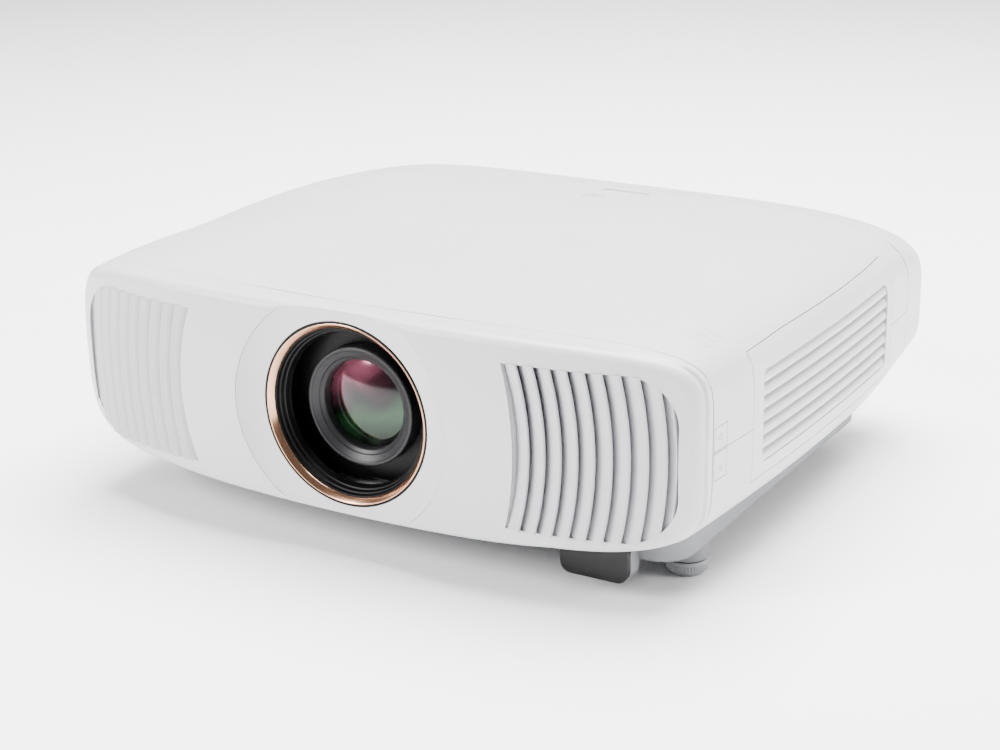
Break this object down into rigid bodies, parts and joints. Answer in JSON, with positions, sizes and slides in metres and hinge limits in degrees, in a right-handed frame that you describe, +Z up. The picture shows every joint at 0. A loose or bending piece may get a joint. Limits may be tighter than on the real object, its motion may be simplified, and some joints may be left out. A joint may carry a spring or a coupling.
{
  "type": "home projector",
  "caption": "Wide white home projector with a bowed front, central recessed lens with a metal trim ring, curved front grilles, a louvred side door and screw feet.",
  "frame": {"origin": "on the table, under the middle of the case, feet screwed in", "axes": "+Z up, the lens faces -Y, +X to the right of someone looking at the lens"},
  "size_m": [0.5191, 0.4462, 0.19],
  "materials": {
    "white_shell": "satin white moulded ABS",
    "grey_shell": "satin light grey moulded ABS",
    "light_pipe": "clear light pipe",
    "black_gloss": "gloss black moulding",
    "black_matte": "matt black moulding",
    "lens_grey": "dark grey moulding",
    "rose_metal": "rose gold anodised",
    "coated_glass": "anti-reflection coated",
    "bare_metal": "plain",
    "brass": "plain",
    "rubber": "moulded",
    "board": "circuit board",
    "filter": "pleated felt"
  },
  "bodies": {
    "case": {"top_cover": "white_shell", "bottom_case": "grey_shell", "rear_cover": "white_shell", "front_panel": "white_shell", "lens_dish": "white_shell", "grille_left": "white_shell", "grille_right": "white_shell", "lens_trim_ring": "rose_metal", "lens_shroud": "black_matte", "shutter_frame": "black_matte", "shift_base": "bare_metal", "engine_housing": "black_matte", "colour_prism": "coated_glass", "panel_red": "bare_metal", "panel_green": "bare_metal", "panel_blue": "bare_metal", "laser_module": "bare_metal", "heat_sink": "bare_metal", "exhaust_fan_left_frame": "black_matte", "exhaust_fan_right_frame": "black_matte", "intake_fan_frame": "black_matte", "main_board": "board", "power_supply": "bare_metal", "status_light_1": "light_pipe", "status_light_2": "light_pipe", "status_light_3": "light_pipe", "rear_cover_latch": "white_shell", "receiver_window": "black_gloss", "io_panel": "black_matte", "hdmi_port_1": "bare_metal", "hdmi_port_2": "bare_metal", "lan_port": "bare_metal", "power_inlet": "black_gloss", "rear_foot_left": "rubber", "rear_foot_right": "rubber"},
    "filter_door": {"filter_door": "white_shell", "air_filter": "filter"},
    "power_button": {"power_button": "white_shell"},
    "source_button": {"source_button": "white_shell"},
    "shutter_left": {"shutter_leaf_left": "black_matte"},
    "shutter_right": {"shutter_leaf_right": "black_matte"},
    "shift_across": {"shift_plate_across": "bare_metal"},
    "lens": {"shift_plate_up": "bare_metal", "lens_rear_tube": "black_matte", "lens_barrel": "black_matte", "lens_baffle": "black_matte", "lens_rim": "lens_grey", "front_glass": "coated_glass"},
    "focus_ring": {"focus_ring": "black_matte"},
    "zoom_ring": {"zoom_ring": "black_matte"},
    "focus_pinion": {"focus_pinion": "brass"},
    "zoom_pinion": {"zoom_pinion": "brass"},
    "phosphor_wheel": {"phosphor_wheel": "brass"},
    "exhaust_fan_left_rotor": {"exhaust_fan_left_rotor": "black_matte"},
    "exhaust_fan_right_rotor": {"exhaust_fan_right_rotor": "black_matte"},
    "intake_fan_rotor": {"intake_fan_rotor": "black_matte"},
    "foot_stem_left": {"front_foot_stem_left": "bare_metal"},
    "foot_stem_right": {"front_foot_stem_right": "bare_metal"},
    "foot_wheel_left": {"front_foot_wheel_left": "grey_shell"},
    "foot_wheel_right": {"front_foot_wheel_right": "grey_shell"}
  },
  "joints": [
    {"name": "lens_shift_across", "type": "slide", "parent": "case", "child": "shift_across", "axis": [1, 0, 0], "range_m": [-0.0075, 0.0075]},
    {"name": "lens_shift_up", "type": "slide", "parent": "shift_across", "child": "lens", "axis": [0, 0, 1], "range_m": [-0.0085, 0.0085]},
    {"name": "focus_turn", "type": "hinge", "parent": "lens", "child": "focus_ring", "pos_m": [0, 0, 0.105], "axis": [0, 1, 0], "range_deg": [-45, 45]},
    {"name": "zoom_turn", "type": "hinge", "parent": "lens", "child": "zoom_ring", "pos_m": [0, 0, 0.105], "axis": [0, 1, 0], "range_deg": [-40, 40]},
    {"name": "focus_pinion_turn", "type": "hinge", "parent": "lens", "child": "focus_pinion", "pos_m": [-0.03557, 0, 0.06943], "axis": [0, 1, 0], "range_deg": [-345, 345]},
    {"name": "zoom_pinion_turn", "type": "hinge", "parent": "lens", "child": "zoom_pinion", "pos_m": [-0.03557, 0, 0.06943], "axis": [0, 1, 0], "range_deg": [-345, 345]},
    {"name": "shutter_right_slide", "type": "slide", "parent": "case", "child": "shutter_right", "axis": [-1, 0, 0], "range_m": [0, 0.0558]},
    {"name": "shutter_left_slide", "type": "slide", "parent": "case", "child": "shutter_left", "axis": [1, 0, 0], "range_m": [0, 0.0558]},
    {"name": "filter_door_swing", "type": "hinge", "parent": "case", "child": "filter_door", "pos_m": [0.2603, 0.004, 0.0718], "axis": [0, 1, 0], "range_deg": [0, 85]},
    {"name": "power_button_press", "type": "slide", "parent": "case", "child": "power_button", "axis": [-1, 0, 0], "range_m": [0, 0.0008], "stiffness_N_per_m": 600, "springref_m": -0.0008},
    {"name": "source_button_press", "type": "slide", "parent": "case", "child": "source_button", "axis": [-1, 0, 0], "range_m": [0, 0.0008], "stiffness_N_per_m": 600, "springref_m": -0.0008},
    {"name": "phosphor_wheel_spin", "type": "hinge", "parent": "case", "child": "phosphor_wheel", "pos_m": [0.06, 0, 0.1], "axis": [0, 1, 0], "continuous": true},
    {"name": "exhaust_fan_left_spin", "type": "hinge", "parent": "case", "child": "exhaust_fan_left_rotor", "pos_m": [-0.179, -0.1555, 0.105], "axis": [0, 1, 0], "continuous": true},
    {"name": "exhaust_fan_right_spin", "type": "hinge", "parent": "case", "child": "exhaust_fan_right_rotor", "pos_m": [0.179, -0.1555, 0.105], "axis": [0, 1, 0], "continuous": true},
    {"name": "intake_fan_spin", "type": "hinge", "parent": "case", "child": "intake_fan_rotor", "pos_m": [0.214, 0.03, 0.107], "axis": [1, 0, 0], "continuous": true},
    {"name": "foot_left_extend", "type": "slide", "parent": "case", "child": "foot_stem_left", "axis": [0, 0, -1], "range_m": [0, 0.018]},
    {"name": "foot_left_turn", "type": "hinge", "parent": "foot_stem_left", "child": "foot_wheel_left", "pos_m": [-0.21, -0.1205, 0], "axis": [0, 0, 1], "range_deg": [0, 4320]},
    {"name": "foot_right_extend", "type": "slide", "parent": "case", "child": "foot_stem_right", "axis": [0, 0, -1], "range_m": [0, 0.018]},
    {"name": "foot_right_turn", "type": "hinge", "parent": "foot_stem_right", "child": "foot_wheel_right", "pos_m": [0.21, -0.1205, 0], "axis": [0, 0, 1], "range_deg": [0, 4320]}
  ],
  "couplings": [
    {"joint": "focus_pinion_turn", "follows": "focus_turn", "ratio": -7.3333},
    {"joint": "zoom_pinion_turn", "follows": "zoom_turn", "ratio": -7.3333},
    {"joint": "shutter_left_slide", "follows": "shutter_right_slide", "ratio": 1},
    {"joint": "foot_left_turn", "follows": "foot_left_extend", "rad_per_m": 4188.8},
    {"joint": "foot_right_turn", "follows": "foot_right_extend", "rad_per_m": 4188.8}
  ]
}
